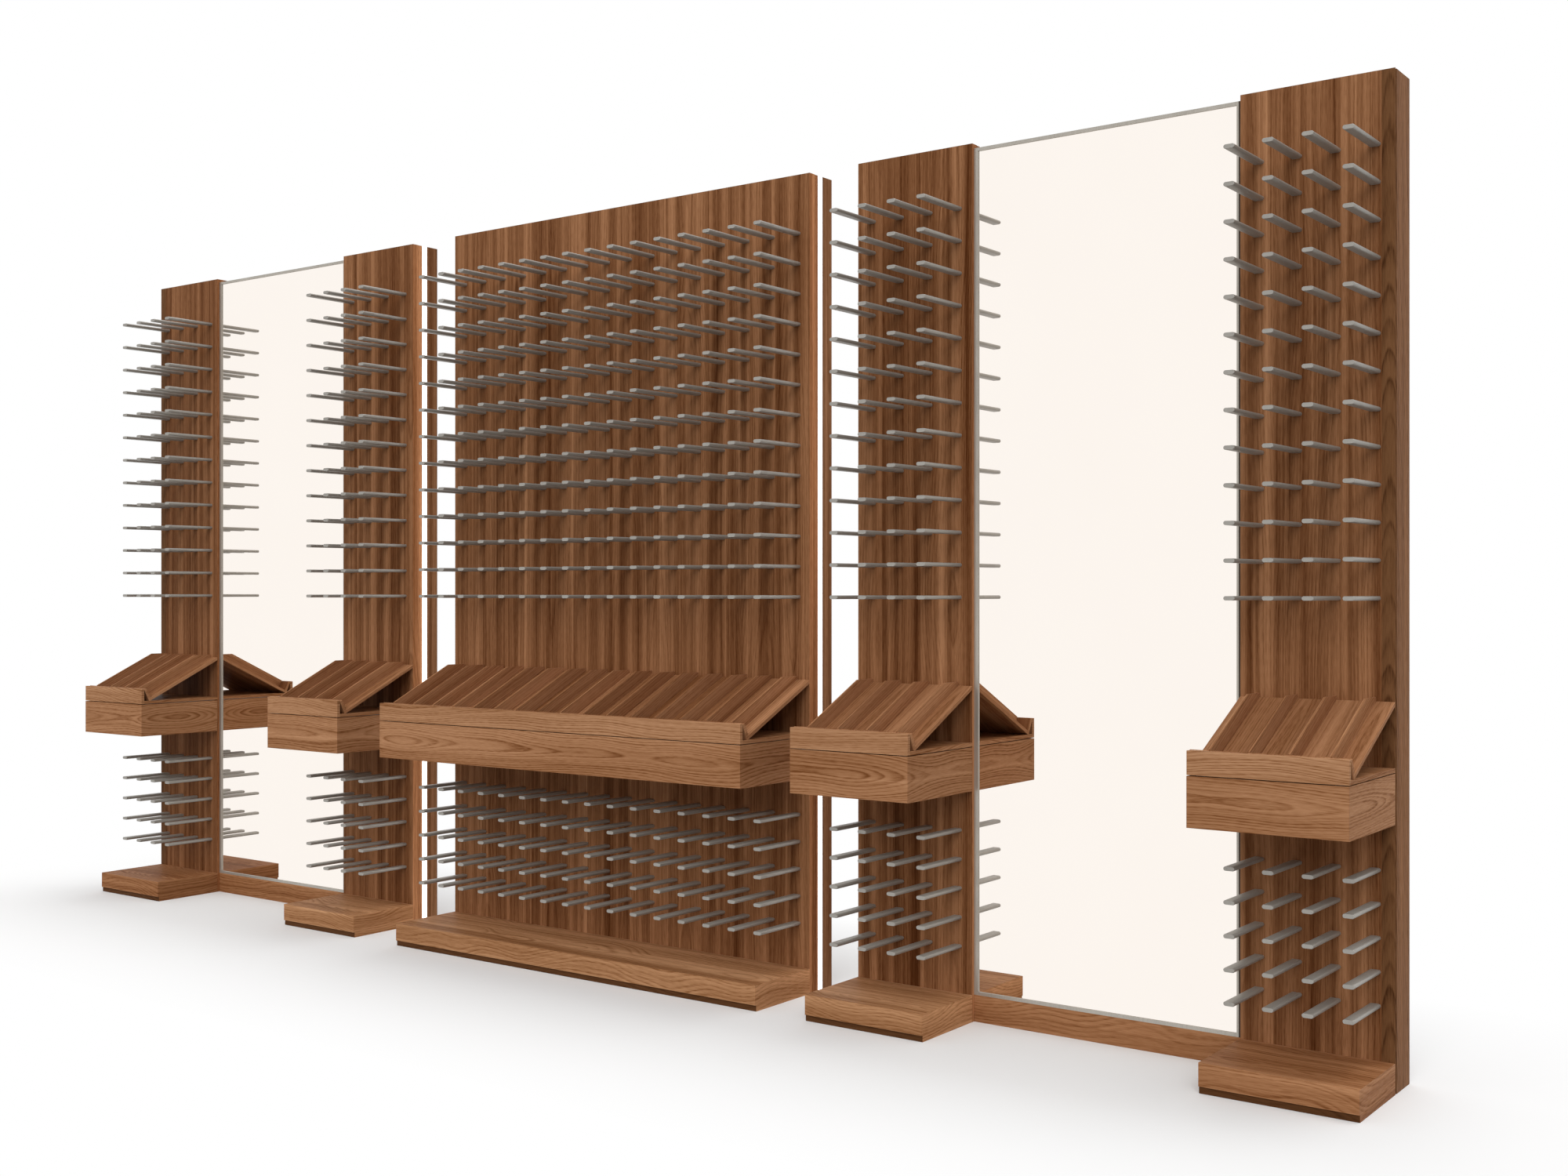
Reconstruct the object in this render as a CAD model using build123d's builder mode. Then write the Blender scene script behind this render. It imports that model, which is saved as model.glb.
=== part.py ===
from build123d import *
import os
from dataclasses import dataclass
from math import cos, radians, sin, tan

# Wine wall in walnut: four narrow peg towers and one wide peg panel, each with a display ledge, a drawer
# under it and a plinth, and two mirror bays that join the towers in pairs.
# Millimetres, +Z up, front towards -Y, origin on the floor at the middle of the overall box.

# Units, from left to right
panel_height = 2438.0
tower_width = 381.0
centre_width = 1524.0
mirror_bay = 770.0
left_gap = 218.0
right_gap = 173.0

# Build-up behind the front plane
panel_thickness = 25.0
backing_thickness = 20.0
backing_inset = 1.5
strip_depth = 20.0
strip_width = 12.0
frame_depth = 50.0
upright_width = 45.0
rail_height = 60.0
middle_rail_height = 700.0
end_panel_thickness = 32.0
shadow_groove_setback = 3.0
shadow_groove_width = 8.0
shadow_groove_depth = 4.0

# Pegs
peg_width = 28.0
peg_thickness = 10.5
peg_length = 196.0
column_pitch = 95.25
upper_pitch = 90.3
lower_pitch = 81.0
top_row_drop = 176.0
bottom_row_lift = 131.0
upper_headroom = 190.0
lower_headroom = 80.0

# Display ledge: shelf, lip, and cradle with its fins
ledge_projection = 336.5
shelf_height = 775.5
shelf_thickness = 11.0
lip_height = 57.5
lip_thickness = 12.0
cradle_angle = 26.0
cradle_board = 10.0
cradle_toe_height = 50.0
cradle_foot_flat = 1.5
fin_thickness = 6.0
fin_height = 42.0
fin_top_lift = 10.0

# Drawer and its runners
drawer_reveal = 2.2
drawer_height = 121.9
drawer_wall = 15.0
drawer_rear_clearance = 1.0
drawer_back_thickness = 12.0
drawer_bottom_thickness = 6.0
drawer_bottom_lift = 8.0
runner_sheet = 3.0
runner_drop = 36.0
runner_top_flange = 18.0
runner_web_clearance = 1.5
runner_reach = 6.0
runner_front_clearance = 4.0
runner_back_clearance = 3.0
groove_end_clearance = 1.0
groove_top_clearance = 0.3
groove_bottom_clearance = 0.7

# Plinth
plinth_projection = 266.5
plinth_height = 75.0
plinth_board = 18.0
toe_height = 17.5
toe_setback = 4.5

# Mirror bays
mirror_setback = 9.0
mirror_top_drop = 12.0
mirror_stile = 13.0
mirror_rail = 9.0
mirror_frame_depth = 20.0
glass_thickness = 6.0
glass_setback = 4.0
glass_bite = 5.0
glass_clearance = 0.3
skirting_thickness = 25.0

# Places that follow from the sizes above
body_depth = panel_thickness + backing_thickness + strip_depth + frame_depth
front_y = ledge_projection - (ledge_projection + body_depth) / 2
backing_y = front_y + panel_thickness
strip_y = backing_y + backing_thickness
frame_y = strip_y + strip_depth
rear_y = frame_y + frame_depth
ledge_front_y = front_y - ledge_projection
shelf_underside = shelf_height - shelf_thickness
lip_back_y = ledge_front_y + lip_thickness
drawer_top = shelf_underside - drawer_reveal
drawer_floor = drawer_top - drawer_height
runner_bottom = shelf_underside - runner_drop

tilt = radians(cradle_angle)
foot_y = lip_back_y + cradle_toe_height * sin(tilt)
foot_z = shelf_height - cradle_foot_flat
cradle_top = foot_z + (front_y - foot_y) * tan(tilt) + cradle_board / cos(tilt)
fin_top = cradle_top + fin_top_lift


@dataclass
class Unit:
    """One peg panel with its ledge: its name, its side limits, and which side, if any, has an end panel."""

    name: str
    left: float
    right: float
    left_end: float = 0.0
    right_end: float = 0.0

    @property
    def middle(self):
        return (self.left + self.right) / 2

    @property
    def columns(self):
        """X of each peg column, centred on the unit."""
        count = int((self.right - self.left) / column_pitch + 0.01)
        first = self.middle - (count - 1) * column_pitch / 2
        return [first + i * column_pitch for i in range(count)]


def lay_out_units():
    """The five units from left to right, about the middle of the overall width."""
    names = ["far_left", "left", "centre", "right", "far_right"]
    widths = [tower_width, tower_width, centre_width, tower_width, tower_width]
    spaces = [mirror_bay, left_gap, right_gap, mirror_bay, 0.0]
    edge = -(sum(widths) + sum(spaces)) / 2
    units = []
    for name, width, space in zip(names, widths, spaces):
        units.append(Unit(name, edge, edge + width))
        edge += width + space
    units[0].left_end = end_panel_thickness
    units[-1].right_end = end_panel_thickness
    return units


def plan_solid(points, bottom, top):
    """An upright solid with the given outline in plan."""
    with BuildPart() as piece:
        with BuildSketch(Plane.XY.offset(bottom)):
            with BuildLine():
                Polyline(*points, close=True)
            make_face()
        extrude(amount=top - bottom)
    return piece.part


def profile_solid(points, left, right):
    """A solid with the given outline in side view, as (y, z) points, from left to right."""
    with BuildPart() as piece:
        with BuildSketch(Plane.YZ.offset(left)):
            with BuildLine():
                Polyline(*points, close=True)
            make_face()
        extrude(amount=right - left)
    return piece.part


def board(x, y, z):
    """A square-edged board between pairs of limits."""
    return plan_solid([(x[0], y[0]), (x[1], y[0]), (x[1], y[1]), (x[0], y[1])], z[0], z[1])


def save(name, *solids):
    """Write one node, as one solid or as a group of separate solids."""
    node = solids[0] if len(solids) == 1 else Compound(list(solids))
    node.label = name
    export_step(node, f"parts/{name}.step")


def panel(unit):
    """Front leaf and the slightly narrower backing board behind it."""
    left = unit.left + unit.left_end
    right = unit.right - unit.right_end
    leaf = board((left, right), (front_y, backing_y), (0, panel_height))
    backing_x = (left + backing_inset, right - backing_inset)
    return [leaf, board(backing_x, (backing_y, strip_y), (0, panel_height))]


def rear_frame(unit):
    """Two uprights, and three rails that reach forward to carry the panel."""
    left = unit.left + unit.left_end
    right = unit.right - unit.right_end
    inner = (left + upright_width, right - upright_width)
    height = (0, panel_height)
    pieces = [
        board((left, inner[0]), (frame_y, rear_y), height),
        board((inner[1], right), (frame_y, rear_y), height),
    ]
    for bottom in (0, middle_rail_height, panel_height - rail_height):
        pieces.append(board(inner, (strip_y, rear_y), (bottom, bottom + rail_height)))
    return pieces


def end_panel(unit):
    """Full-depth side board at an outer end, with a shadow groove beside its front corner."""
    outer, inner = unit.right, unit.right - unit.right_end
    if unit.left_end:
        outer, inner = unit.left, unit.left + unit.left_end
    towards_inside = 1 if inner > outer else -1
    groove_x = outer + towards_inside * shadow_groove_depth
    groove_front = front_y + shadow_groove_setback
    groove_back = groove_front + shadow_groove_width
    outline = [
        (inner, front_y),
        (outer, front_y),
        (outer, groove_front),
        (groove_x, groove_front),
        (groove_x, groove_back),
        (outer, groove_back),
        (outer, rear_y),
        (inner, rear_y),
    ]
    return plan_solid(outline, 0, panel_height)


def light_strip(right_side_x):
    """Opal diffuser strip that fills the slot between backing and rear frame, given its right side."""
    x = (right_side_x - strip_width, right_side_x)
    return board(x, (strip_y, frame_y), (0, panel_height))


def peg_rows():
    """Heights of the peg rows: the upper field hangs from the top, the lower one stands on the plinth."""
    top_row = panel_height - top_row_drop
    upper_count = int((top_row - fin_top - upper_headroom) // upper_pitch) + 1
    bottom_row = plinth_height + bottom_row_lift
    lower_count = int((drawer_floor - lower_headroom - bottom_row) // lower_pitch) + 1
    upper = [top_row - i * upper_pitch for i in range(upper_count)]
    lower = [bottom_row + i * lower_pitch for i in range(lower_count)]
    return upper + lower


def pegs(unit):
    """All pegs of one unit: flat bars with narrowed long edges, standing square out of the panel."""
    half, flat = peg_width / 2, (peg_width - peg_thickness) / 2
    rise = peg_thickness / 2
    section = [(half, 0), (flat, rise), (-flat, rise), (-half, 0), (-flat, -rise), (flat, -rise)]
    places = [(x, z) for x in unit.columns for z in peg_rows()]
    with BuildPart() as bars:
        with BuildSketch(Plane.XZ.offset(-front_y)):
            with Locations(*places):
                Polygon(*section, align=None)
        extrude(amount=peg_length)
    return bars.part


def shelf(unit):
    return board((unit.left, unit.right), (lip_back_y, front_y), (shelf_underside, shelf_height))


def lip(unit):
    height = (shelf_underside, shelf_underside + lip_height)
    return board((unit.left, unit.right), (ledge_front_y, lip_back_y), height)


def on_slope(along, above):
    """(y, z) of a point given along and above the cradle's underside, from its foot."""
    return (
        foot_y + along * cos(tilt) - above * sin(tilt),
        foot_z + along * sin(tilt) + above * cos(tilt),
    )


def trimmed_profile(corners, left, right, top):
    """A sloping board's side outline, trimmed to the lip, the shelf, the panel and a level top."""
    with BuildPart() as piece:
        with BuildSketch(Plane.YZ.offset(left)):
            with BuildLine():
                Polyline(*[on_slope(*corner) for corner in corners], close=True)
            make_face()
            room = (front_y - lip_back_y, top - shelf_height)
            with Locations(((lip_back_y + front_y) / 2, (shelf_height + top) / 2)):
                Rectangle(*room, mode=Mode.INTERSECT)
        extrude(amount=right - left)
    return piece.part


def cradle(unit):
    """Sloping back board and the toe board square to it, wedged between panel, shelf and lip."""
    length = (front_y - foot_y) / cos(tilt) + cradle_board
    back = [(cradle_board, 0), (length, 0), (length, cradle_board), (cradle_board, cradle_board)]
    toe = [(0, 0), (cradle_board, 0), (cradle_board, cradle_toe_height), (0, cradle_toe_height)]
    limits = (unit.left, unit.right, cradle_top)
    return [trimmed_profile(back, *limits), trimmed_profile(toe, *limits)]


def fins(unit):
    """Dividers that stand on the cradle's back board, one at each peg column."""
    ridge = cradle_board + fin_height
    length = (front_y - foot_y) / cos(tilt) + ridge
    corners = [(cradle_board, cradle_board), (length, cradle_board), (length, ridge), (cradle_board, ridge)]
    half = fin_thickness / 2
    return [trimmed_profile(corners, x - half, x + half, fin_top) for x in unit.columns]


def drawer_front(unit):
    """Front board with its ends mitred to the drawer's sides."""
    inside_y = ledge_front_y + drawer_wall
    outline = [
        (unit.left, ledge_front_y),
        (unit.right, ledge_front_y),
        (unit.right - drawer_wall, inside_y),
        (unit.left + drawer_wall, inside_y),
    ]
    return plan_solid(outline, drawer_floor, drawer_top)


def drawer_box(unit):
    """Two grooved sides, a low back and a bottom."""
    inside_y = ledge_front_y + drawer_wall
    end_y = front_y - drawer_rear_clearance
    inside = (unit.left + drawer_wall, unit.right - drawer_wall)
    groove_depth = runner_reach + groove_end_clearance
    groove_low = runner_bottom - groove_bottom_clearance
    groove_high = runner_bottom + runner_sheet + groove_top_clearance
    with BuildPart() as left_side:
        with BuildSketch(Plane.XY.offset(drawer_floor)):
            with BuildLine():
                corner = (unit.left, ledge_front_y)
                Polyline(corner, (inside[0], inside_y), (inside[0], end_y), (unit.left, end_y), close=True)
            make_face()
        extrude(amount=drawer_height)
        with BuildSketch(Plane.XZ.offset(-end_y)):
            with Locations((inside[0] - groove_depth / 2, (groove_low + groove_high) / 2)):
                Rectangle(groove_depth, groove_high - groove_low)
        extrude(amount=end_y - inside_y, mode=Mode.SUBTRACT)
    right_side = mirror(left_side.part, about=Plane.YZ.offset(unit.middle))
    bottom_z = drawer_floor + drawer_bottom_lift
    bottom_top = bottom_z + drawer_bottom_thickness
    bottom = board(inside, (inside_y, end_y), (bottom_z, bottom_top))
    back_y = (end_y - drawer_back_thickness, end_y)
    back = board(inside, back_y, (bottom_top, runner_bottom - runner_back_clearance))
    return [left_side.part, right_side, back, bottom]


def drawer_runners(unit):
    """A pair of Z-section runners under the shelf, whose lower flanges enter the drawer's grooves."""
    web = unit.left + drawer_wall + runner_web_clearance
    web_inside = web + runner_sheet
    flange_end = unit.left + drawer_wall - runner_reach
    top_end = web_inside + runner_top_flange
    section = [
        (flange_end, runner_bottom),
        (web_inside, runner_bottom),
        (web_inside, shelf_underside - runner_sheet),
        (top_end, shelf_underside - runner_sheet),
        (top_end, shelf_underside),
        (web, shelf_underside),
        (web, runner_bottom + runner_sheet),
        (flange_end, runner_bottom + runner_sheet),
    ]
    start_y = ledge_front_y + drawer_wall + runner_front_clearance
    with BuildPart() as left_runner:
        with BuildSketch(Plane.XZ.offset(-front_y)):
            with BuildLine():
                Polyline(*section, close=True)
            make_face()
        extrude(amount=front_y - start_y)
    return [left_runner.part, mirror(left_runner.part, about=Plane.YZ.offset(unit.middle))]


def plinth(unit):
    """Top, front and two sides, mitred to one another, with the sides mitred to the toe kick below."""
    front = front_y - plinth_projection
    inside_y = front + plinth_board
    inside = (unit.left + plinth_board, unit.right - plinth_board)
    underside = plinth_height - plinth_board
    toe_front, toe_reach = front + toe_setback, plinth_board - toe_setback
    with BuildPart() as top:
        for z, x, y in ((underside, inside, inside_y), (plinth_height, (unit.left, unit.right), front)):
            with BuildSketch(Plane.XY.offset(z)):
                with Locations(((x[0] + x[1]) / 2, (y + front_y) / 2)):
                    Rectangle(x[1] - x[0], front_y - y)
        loft(ruled=True)
    with BuildPart() as face:
        with BuildSketch(Plane.XY.offset(toe_height)):
            with BuildLine():
                outer_corners = [(unit.left, front), (unit.right, front)]
                Polyline(*outer_corners, (inside[1], inside_y), (inside[0], inside_y), close=True)
            make_face()
        extrude(amount=plinth_height - toe_height)
        with BuildSketch(Plane.YZ.offset(unit.left)):
            with BuildLine():
                toe_corners = [(front, toe_height), (inside_y, toe_height)]
                Polyline(*toe_corners, (inside_y, underside), (front, plinth_height), close=True)
            make_face()
        extrude(amount=unit.right - unit.left, mode=Mode.INTERSECT)
    with BuildPart() as left_side:
        with BuildSketch(Plane.XZ.offset(-front_y)):
            with BuildLine():
                floor_corners = [(unit.left, 0), (inside[0], 0)]
                Polyline(*floor_corners, (inside[0], underside), (unit.left, plinth_height), close=True)
            make_face()
        extrude(amount=plinth_projection)
        with BuildSketch(Plane.XY):
            with BuildLine():
                Polyline((unit.left, front), (inside[0], front), (inside[0], inside_y), close=True)
            make_face()
        extrude(amount=plinth_height, mode=Mode.SUBTRACT)
        with BuildSketch(Plane.XY):
            with BuildLine():
                toe_mitre = [(unit.left, toe_front), (unit.left + toe_reach, inside_y)]
                Polyline((unit.left, front), *toe_mitre, (inside[0], inside_y), close=True)
            make_face()
        extrude(amount=toe_height, mode=Mode.SUBTRACT)
    right_side = mirror(left_side.part, about=Plane.YZ.offset(unit.middle))
    return [top.part, face.part, left_side.part, right_side]


def toe_kick(unit):
    """Dark board under the plinth's front, set back a little and mitred to the sides."""
    toe_front = front_y - plinth_projection + toe_setback
    toe_reach = plinth_board - toe_setback
    outline = [
        (unit.left, toe_front),
        (unit.right, toe_front),
        (unit.right - toe_reach, toe_front + toe_reach),
        (unit.left + toe_reach, toe_front + toe_reach),
    ]
    return plan_solid(outline, 0, toe_height)


def mirror_frame(left, right):
    """Two stiles and two rails, grooved for the glass, standing on the skirting between two towers."""
    frame_front = front_y + mirror_setback
    top = panel_height - mirror_top_drop
    groove_front = frame_front + glass_setback - glass_clearance
    groove_back = frame_front + glass_setback + glass_thickness + glass_clearance
    depth = (frame_front, frame_front + mirror_frame_depth)
    inside = (left + mirror_stile, right - mirror_stile)

    def grooved_section(outer, inner):
        """A bar's section as (across, depth) points, with the groove in its inner side."""
        bottom = inner - glass_bite if inner > outer else inner + glass_bite
        return [
            (outer, depth[0]),
            (inner, depth[0]),
            (inner, groove_front),
            (bottom, groove_front),
            (bottom, groove_back),
            (inner, groove_back),
            (inner, depth[1]),
            (outer, depth[1]),
        ]

    bars = []
    for outer, inner in ((left, inside[0]), (right, inside[1])):
        bars.append(plan_solid(grooved_section(outer, inner), plinth_height, top))
    for outer, inner in ((plinth_height, plinth_height + mirror_rail), (top, top - mirror_rail)):
        section = [(y, z) for z, y in grooved_section(outer, inner)]
        bars.append(profile_solid(section, *inside))
    return bars


def mirror_glass(left, right):
    """Sheet of mirror glass, held in the frame's grooves."""
    bite = glass_bite - glass_clearance
    x = (left + mirror_stile - bite, right - mirror_stile + bite)
    face = front_y + mirror_setback + glass_setback
    z = (plinth_height + mirror_rail - bite, panel_height - mirror_top_drop - mirror_rail + bite)
    return board(x, (face, face + glass_thickness), z)


def skirting(left, right):
    """Rail on the floor under a mirror, level with the plinths."""
    face = front_y + mirror_setback
    return board((left, right), (face, face + skirting_thickness), (0, plinth_height))


os.makedirs("parts", exist_ok=True)
units = lay_out_units()
far_left, left, centre, right, far_right = units

for unit in units:
    save(f"{unit.name}_panel", *panel(unit))
    save(f"{unit.name}_rear_frame", *rear_frame(unit))
    save(f"{unit.name}_pegs", pegs(unit))
    save(f"{unit.name}_shelf", shelf(unit))
    save(f"{unit.name}_lip", lip(unit))
    save(f"{unit.name}_cradle", *cradle(unit))
    save(f"{unit.name}_cradle_fins", *fins(unit))
    save(f"{unit.name}_drawer_front", drawer_front(unit))
    save(f"{unit.name}_drawer_box", *drawer_box(unit))
    save(f"{unit.name}_plinth", *plinth(unit))

for side, bay in (("left", (far_left.right, left.left)), ("right", (right.right, far_right.left))):
    save(f"{side}_mirror", mirror_glass(*bay))
    save(f"{side}_mirror_frame", *mirror_frame(*bay))
    save(f"{side}_skirting", skirting(*bay))

save("end_panels", end_panel(far_left), end_panel(far_right))
strip_sides = [left.right, centre.left + strip_width, centre.right, right.left + strip_width]
save("light_strips", *[light_strip(x) for x in strip_sides])
save("drawer_runners", *[runner for unit in units for runner in drawer_runners(unit)])
save("toe_kicks", *[toe_kick(unit) for unit in units])
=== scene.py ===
from math import cos, radians, sin

import bmesh
import bpy
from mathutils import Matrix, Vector


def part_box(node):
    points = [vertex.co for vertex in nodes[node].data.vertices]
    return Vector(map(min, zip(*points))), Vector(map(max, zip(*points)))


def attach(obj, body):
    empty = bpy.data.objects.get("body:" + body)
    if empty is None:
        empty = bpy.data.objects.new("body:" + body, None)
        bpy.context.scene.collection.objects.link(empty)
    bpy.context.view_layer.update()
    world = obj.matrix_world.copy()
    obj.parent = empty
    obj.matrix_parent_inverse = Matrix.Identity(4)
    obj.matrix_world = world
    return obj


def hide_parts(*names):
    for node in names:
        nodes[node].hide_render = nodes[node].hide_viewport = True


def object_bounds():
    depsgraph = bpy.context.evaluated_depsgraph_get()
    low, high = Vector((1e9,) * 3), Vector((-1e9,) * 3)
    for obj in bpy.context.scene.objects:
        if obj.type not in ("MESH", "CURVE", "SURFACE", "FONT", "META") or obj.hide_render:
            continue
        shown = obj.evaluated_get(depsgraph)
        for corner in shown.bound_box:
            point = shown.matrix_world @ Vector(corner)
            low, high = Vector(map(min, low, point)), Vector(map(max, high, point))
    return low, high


# Walnut wine wall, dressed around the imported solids: eased boards, rounded pegs, grain, metal and mirror.
# Metres, +Z up, front towards -Y, as in the solids.

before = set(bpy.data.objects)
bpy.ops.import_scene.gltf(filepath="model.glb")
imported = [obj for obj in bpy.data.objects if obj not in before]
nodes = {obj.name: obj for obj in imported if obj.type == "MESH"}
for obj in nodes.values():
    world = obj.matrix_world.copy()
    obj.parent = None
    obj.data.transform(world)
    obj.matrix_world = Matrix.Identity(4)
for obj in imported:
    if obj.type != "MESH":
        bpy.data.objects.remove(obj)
cad_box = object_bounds()

UNITS = ("far_left", "left", "centre", "right", "far_right")
INNER_UNITS = ("left", "centre", "right")
SIDES = ("left", "right")

# Sizes shared with the solids
PANEL_THICKNESS = 0.025
BACKING_INSET = 0.0015
LEDGE_FRONT = -0.22575
REVEAL_HEIGHT = 0.7634
PLINTH_FRONT = -0.15575
DRAWER_WALL = 0.015
PLINTH_BOARD = 0.018
TOE_HEIGHT = 0.0175
TOE_SETBACK = 0.0045
END_THICKNESS = 0.032
GROOVE_SETBACK = 0.003
GROOVE_WIDTH = 0.008
GROOVE_DEPTH = 0.004
FRAME_DEPTH = 0.050
UPRIGHT_WIDTH = 0.045
RAIL_HEIGHT = 0.060
MIDDLE_RAIL_FOOT = 0.700
CRADLE_TILT = radians(26.0)
CRADLE_FOOT = (-0.1918314, 0.774)
CRADLE_BOARD = 0.010
CRADLE_TOE = 0.050
CRADLE_FOOT_FLAT = 0.0015
FIN_THICKNESS = 0.006
FIN_HEIGHT = 0.042
COLUMN_PITCH = 0.09525
PEG_WIDTH = 0.028
PEG_THICKNESS = 0.0105
UPPER_ROWS, UPPER_PITCH = 13, 0.0903
LOWER_ROWS, LOWER_PITCH = 5, 0.081

# Finer than the solids: easing of the boards' edges, the pegs' round edges (as a share of their thickness)
# and tips, and the width of the painted shade line where a mirror frame meets the panel at its right
BOARD_EASE = 0.0006
PEG_ROUNDING = 0.49
PEG_ROUNDING_STEPS = 4
PEG_TIP = 0.0012
PEG_TIP_TAPER = 0.93
PEG_SMOOTH_ANGLE = radians(35.0)
PEG_WELD = 0.00001
SHADE_LINE_WIDTH = 0.0075

# Walnut figure: how far along the log its leaves are spread, the ring lines' ripple in metres, their
# unevenness and waver in years, and the part of a year at which the late wood begins and is darkest
LEAF_SPREAD = 23.0
RING_RIPPLE = 0.0035
RING_UNEVENNESS = 2.2
RING_WAVER = 0.2
LATE_WOOD_START, LATE_WOOD_PEAK = 0.25, 0.82
LATE_WOOD_RISE = 1.6

# Its tone, from deep at 0 to pale at 1: the middle one, and how much each kind of mark changes it
MIDDLE_TONE = 0.6
STREAK_TONE = 1.15
FINE_STREAK_TONE = 0.3
FIBRE_TONE = 0.3
CLOUD_TONE = 0.5
FLECK_TONE = 0.09
DISPLAY_GAMMA = 2.2

# How deep its ring lines and flecks lie in the surface
RING_HOLLOW = 0.3
FLECK_HOLLOW = 0.4

# How far the grain moves from fin to fin, per metre of X
FIN_GRAIN_SHIFT = 7.0

# Painted light: how much lighter the boards' sideways faces are painted than their other faces
PANEL_PAINTED_SIDE_LIGHT = 1.9
END_PAINTED_SIDE_LIGHT = 1.6
FIN_PAINTED_SIDE_LIGHT = 1.05
INNER_PLINTH_PAINTED_SIDE_LIGHT = 1.25

# Studio: strength of the even light, the floor's shade where it is seen and where it only returns light,
# and the distances from the object between which its shadow fades out
EVEN_LIGHT = 0.62
FLOOR_SHADE = 0.86
FLOOR_GLOW = 0.06
FLOOR_RETURN = 0.45
FLOOR_REACH = 60.0
SHADOW_NEAR, SHADOW_FAR = 0.1, 0.9

# A face looks along an axis when its normal has more than this of it
FACING_LIMIT = 0.7

# Depth of the paint on a mirror's rear face
MIRROR_PAINT = 0.0005

# Rates of the satin lines across and along their run, per metre
LINES_ACROSS, LINES_ALONG = 900.0, 4.0
LINE_RATES = {
    "Y": (LINES_ACROSS, LINES_ALONG, LINES_ACROSS),
    "Z": (LINES_ACROSS, LINES_ACROSS, LINES_ALONG),
}

# Faces of a plinth's side, as numbers of its corners: outside, inside, two mitres, three at the toe,
# back and bottom
PLINTH_SIDE_FACES = (
    (0, 1, 2, 3, 4, 5),
    (6, 10, 7, 8, 9),
    (0, 1, 7, 10),
    (1, 2, 8, 7),
    (0, 10, 11, 5),
    (5, 11, 12, 4),
    (11, 10, 6, 12),
    (2, 3, 9, 8),
    (3, 4, 12, 6, 9),
)


class NodeSheet:
    """Adds nodes to one tree and wires them by socket."""

    def __init__(self, tree):
        self.tree = tree

    def feed(self, socket, value):
        if isinstance(value, bpy.types.NodeSocket):
            self.tree.links.new(value, socket)
        else:
            socket.default_value = value

    def add(self, kind, feeds=None, **settings):
        node = self.tree.nodes.new(kind)
        for name, value in settings.items():
            setattr(node, name, value)
        for socket, value in (feeds or {}).items():
            self.feed(node.inputs[socket], value)
        return node

    def math(self, operation, first, second=0.0):
        feeds = {0: first, 1: second}
        return self.add("ShaderNodeMath", feeds, operation=operation).outputs[0]

    def blend(self, mask, first, second):
        """First where the mask is 0, second where it is 1."""
        return self.math("ADD", first, self.math("MULTIPLY", mask, self.math("SUBTRACT", second, first)))

    def spread(self, value, low, high, new_low, new_high):
        feeds = {"Value": value, 1: low, 2: high, 3: new_low, 4: new_high}
        return self.add("ShaderNodeMapRange", feeds).outputs["Result"]

    def vector(self, x, y, z=0.0):
        return self.add("ShaderNodeCombineXYZ", {0: x, 1: y, 2: z}).outputs[0]

    def noise(self, vector, detail=2.0, roughness=0.5, scale=1.0):
        feeds = {"Vector": vector, "Scale": scale, "Detail": detail, "Roughness": roughness}
        return self.add("ShaderNodeTexNoise", feeds).outputs["Fac"]

    def mix_colour(self, mask, first, second):
        node = self.add("ShaderNodeMix", data_type="RGBA")
        self.feed(node.inputs["Factor"], mask)
        self.feed(node.inputs[6], first)
        self.feed(node.inputs[7], second)
        return node.outputs[2]

    def coordinates(self):
        return self.add("ShaderNodeTexCoord").outputs["Object"]

    def place(self):
        """Object coordinates, one by one."""
        return self.add("ShaderNodeSeparateXYZ", {0: self.coordinates()}).outputs

    def facing(self):
        """Masks of the faces that look sideways and up or down, and which side they look to."""
        normal = self.add("ShaderNodeNewGeometry").outputs["True Normal"]
        x, _, z = self.add("ShaderNodeSeparateXYZ", {0: normal}).outputs
        sideways = self.math("GREATER_THAN", self.math("ABSOLUTE", x), FACING_LIMIT)
        level = self.math("GREATER_THAN", self.math("ABSOLUTE", z), FACING_LIMIT)
        return sideways, level, self.math("SIGN", x)


def new_group(name, inputs, outputs):
    """An empty shader node group, with its sheet, its input sockets by name and its output node."""
    tree = bpy.data.node_groups.new(name, "ShaderNodeTree")
    for socket, kind in inputs:
        tree.interface.new_socket(socket, in_out="INPUT", socket_type=kind)
    for socket, kind in outputs:
        tree.interface.new_socket(socket, in_out="OUTPUT", socket_type=kind)
    sheet = NodeSheet(tree)
    return sheet, sheet.add("NodeGroupInput").outputs, sheet.add("NodeGroupOutput")


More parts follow.
